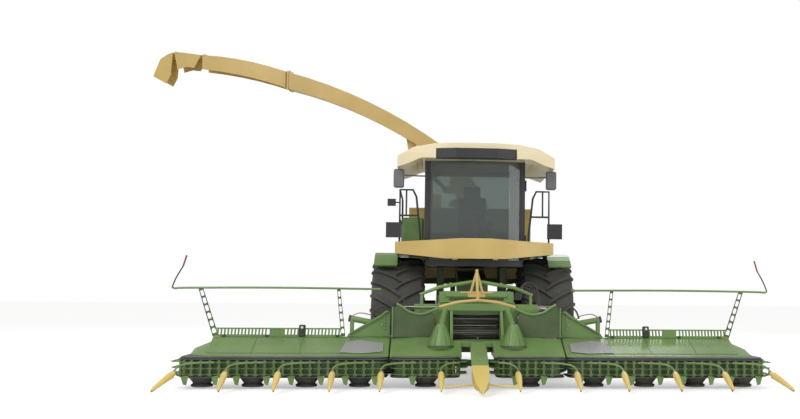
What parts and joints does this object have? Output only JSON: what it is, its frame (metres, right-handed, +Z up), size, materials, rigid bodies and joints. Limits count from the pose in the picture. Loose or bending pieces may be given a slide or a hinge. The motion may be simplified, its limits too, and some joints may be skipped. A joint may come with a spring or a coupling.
{
  "type": "forage harvester",
  "caption": "Self-propelled forage harvester with a wide folding maize header, a glazed cab and a discharge spout raised to one side.",
  "frame": {"origin": "under the middle of the machine's box, on the ground", "axes": "+X across to the machine's left, +Y rearwards, +Z up"},
  "size_m": [11.2736, 9.5382, 6.361],
  "materials": {
    "yellow_paint": "satin",
    "pale_paint": "satin",
    "green_paint": "satin",
    "dark_green_paint": "satin",
    "black_plastic": "matte",
    "grey_plastic": "matte",
    "steel": "satin",
    "chrome": "polished",
    "cast_iron": "matte",
    "tyre_rubber": "matte",
    "glass": "polished",
    "seat_fabric": "matte"
  },
  "bodies": {
    "machine": {"main_frame": "green_paint", "front_axle": "cast_iron", "rear_axle": "cast_iron", "engine_block": "cast_iron", "chopper_housing": "green_paint", "crop_channel": "yellow_paint", "cab_floor": "black_plastic", "cab_frame": "black_plastic", "windscreen": "glass", "rear_glass": "glass", "cab_glass_right": "glass", "cab_roof": "pale_paint", "cab_visor": "black_plastic", "driver_seat": "seat_fabric", "front_panel": "yellow_paint", "walkway_left": "green_paint", "walkway_right": "green_paint", "railing_left": "green_paint", "railing_right": "green_paint", "mirror_left": "grey_plastic", "mirror_right": "grey_plastic", "body_shell": "yellow_paint", "body_roof": "yellow_paint", "spout_ring": "green_paint"},
    "wheel_front_left": {"tyre_front_left": "tyre_rubber", "rim_front_left": "pale_paint"},
    "wheel_front_right": {"tyre_front_right": "tyre_rubber", "rim_front_right": "pale_paint"},
    "knuckle_left": {"knuckle_left": "cast_iron"},
    "knuckle_right": {"knuckle_right": "cast_iron"},
    "wheel_rear_left": {"tyre_rear_left": "tyre_rubber", "rim_rear_left": "pale_paint"},
    "wheel_rear_right": {"tyre_rear_right": "tyre_rubber", "rim_rear_right": "pale_paint"},
    "header": {"feeder_housing": "green_paint", "header_frame": "green_paint", "collector_middle": "dark_green_paint", "centre_divider": "green_paint", "middle_tips": "yellow_paint", "crop_bow": "yellow_paint"},
    "roller_upper": {"feed_roller_upper": "steel"},
    "roller_lower": {"feed_roller_lower": "steel"},
    "wing_left": {"wing_deck_left": "green_paint", "collector_left": "dark_green_paint", "tips_left": "yellow_paint"},
    "wing_right": {"wing_deck_right": "green_paint", "collector_right": "dark_green_paint", "tips_right": "yellow_paint"},
    "spout_base": {"spout_base": "yellow_paint"},
    "spout_inner": {"spout_inner": "yellow_paint"},
    "spout_outer": {"spout_outer": "yellow_paint"},
    "spout_flap": {"spout_flap": "yellow_paint"},
    "spout_flap_tip": {"spout_flap_tip": "yellow_paint"},
    "lift_barrel": {"lift_barrel": "green_paint"},
    "lift_rod": {"lift_rod": "chrome"},
    "cab_door": {"cab_door": "black_plastic", "door_glass": "glass"},
    "service_door_left": {"service_door_left": "yellow_paint"},
    "service_door_right": {"service_door_right": "yellow_paint"},
    "rear_grille": {"rear_grille": "black_plastic"}
  },
  "joints": [
    {"name": "wheel_front_left_spin", "type": "hinge", "parent": "machine", "child": "wheel_front_left", "pos_m": [2.13512, -0.46487, 1.03928], "axis": [1, 0, 0], "continuous": true},
    {"name": "wheel_front_right_spin", "type": "hinge", "parent": "machine", "child": "wheel_front_right", "pos_m": [-0.46488, -0.46487, 1.03928], "axis": [1, 0, 0], "continuous": true},
    {"name": "steer_left", "type": "hinge", "parent": "machine", "child": "knuckle_left", "pos_m": [1.63512, 2.83513, 0.79562], "axis": [0, 0, 1], "range_deg": [-34, 34]},
    {"name": "steer_right", "type": "hinge", "parent": "machine", "child": "knuckle_right", "pos_m": [0.03512, 2.83513, 0.79562], "axis": [0, 0, 1], "range_deg": [-34, 34]},
    {"name": "wheel_rear_left_spin", "type": "hinge", "parent": "knuckle_left", "child": "wheel_rear_left", "pos_m": [2.03512, 2.83513, 0.79562], "axis": [1, 0, 0], "continuous": true},
    {"name": "wheel_rear_right_spin", "type": "hinge", "parent": "knuckle_right", "child": "wheel_rear_right", "pos_m": [-0.36488, 2.83513, 0.79562], "axis": [1, 0, 0], "continuous": true},
    {"name": "header_lift", "type": "hinge", "parent": "machine", "child": "header", "pos_m": [0.83512, -1.08487, 1.08], "axis": [-1, 0, 0], "range_deg": [0, 5]},
    {"name": "roller_upper_spin", "type": "hinge", "parent": "header", "child": "roller_upper", "pos_m": [0.83512, -2.08487, 1.03], "axis": [1, 0, 0], "continuous": true},
    {"name": "roller_lower_spin", "type": "hinge", "parent": "header", "child": "roller_lower", "pos_m": [0.83512, -2.08487, 0.8], "axis": [1, 0, 0], "continuous": true},
    {"name": "wing_left_fold", "type": "hinge", "parent": "header", "child": "wing_left", "pos_m": [2.19512, -2.45987, 0.76], "axis": [0, -1, 0], "range_deg": [0, 88]},
    {"name": "wing_right_fold", "type": "hinge", "parent": "header", "child": "wing_right", "pos_m": [-0.52488, -2.45987, 0.76], "axis": [0, 1, 0], "range_deg": [0, 88]},
    {"name": "spout_slew", "type": "hinge", "parent": "machine", "child": "spout_base", "pos_m": [0.83512, 1.48513, 3.3], "axis": [0, 0, 1], "range_deg": [-185, 25]},
    {"name": "spout_lift", "type": "hinge", "parent": "spout_base", "child": "spout_inner", "pos_m": [0.63816, 1.51986, 3.9], "axis": [0.1736, 0.9848, 0], "range_deg": [-18, 0]},
    {"name": "lift_barrel_swing", "type": "hinge", "parent": "spout_base", "child": "lift_barrel", "pos_m": [0.38211, 1.56501, 3.5], "axis": [0.1736, 0.9848, 0], "range_deg": [-17.56, 0]},
    {"name": "lift_rod_slide", "type": "slide", "parent": "lift_barrel", "child": "lift_rod", "axis": [-0.6768, 0.1193, 0.7265], "range_m": [-0.1517, 0]},
    {"name": "spout_fold", "type": "hinge", "parent": "spout_inner", "child": "spout_outer", "pos_m": [-2.84314, 2.13371, 5.925], "axis": [0.1736, 0.9848, 0], "range_deg": [0, 140]},
    {"name": "spout_flap_tilt", "type": "hinge", "parent": "spout_outer", "child": "spout_flap", "pos_m": [-4.60594, 2.44454, 6.285], "axis": [0.1736, 0.9848, 0], "range_deg": [-18, 30]},
    {"name": "spout_flap_tip_tilt", "type": "hinge", "parent": "spout_flap", "child": "spout_flap_tip", "pos_m": [-5.19683, 2.54873, 6.345], "axis": [0.1736, 0.9848, 0], "range_deg": [-13.5, 22.5]},
    {"name": "cab_door_swing", "type": "hinge", "parent": "machine", "child": "cab_door", "pos_m": [1.71312, -1.43487, 2.85], "axis": [0, 0, -1], "range_deg": [0, 75]},
    {"name": "service_door_left_lift", "type": "hinge", "parent": "machine", "child": "service_door_left", "pos_m": [2.01312, 2.73513, 2.84], "axis": [0, -1, 0], "range_deg": [0, 80]},
    {"name": "service_door_right_lift", "type": "hinge", "parent": "machine", "child": "service_door_right", "pos_m": [-0.34288, 2.73513, 2.84], "axis": [0, 1, 0], "range_deg": [0, 80]},
    {"name": "rear_grille_swing", "type": "hinge", "parent": "machine", "child": "rear_grille", "pos_m": [1.78512, 4.75313, 2.26], "axis": [0, 0, -1], "range_deg": [0, 100]}
  ],
  "couplings": [
    {"joint": "steer_right", "follows": "steer_left", "ratio": 1},
    {"joint": "lift_barrel_swing", "follows": "spout_lift", "ratio": 0.95651},
    {"joint": "lift_rod_slide", "follows": "spout_lift", "m_per_rad": 0.47335},
    {"joint": "spout_flap_tip_tilt", "follows": "spout_flap_tilt", "ratio": 0.75}
  ]
}
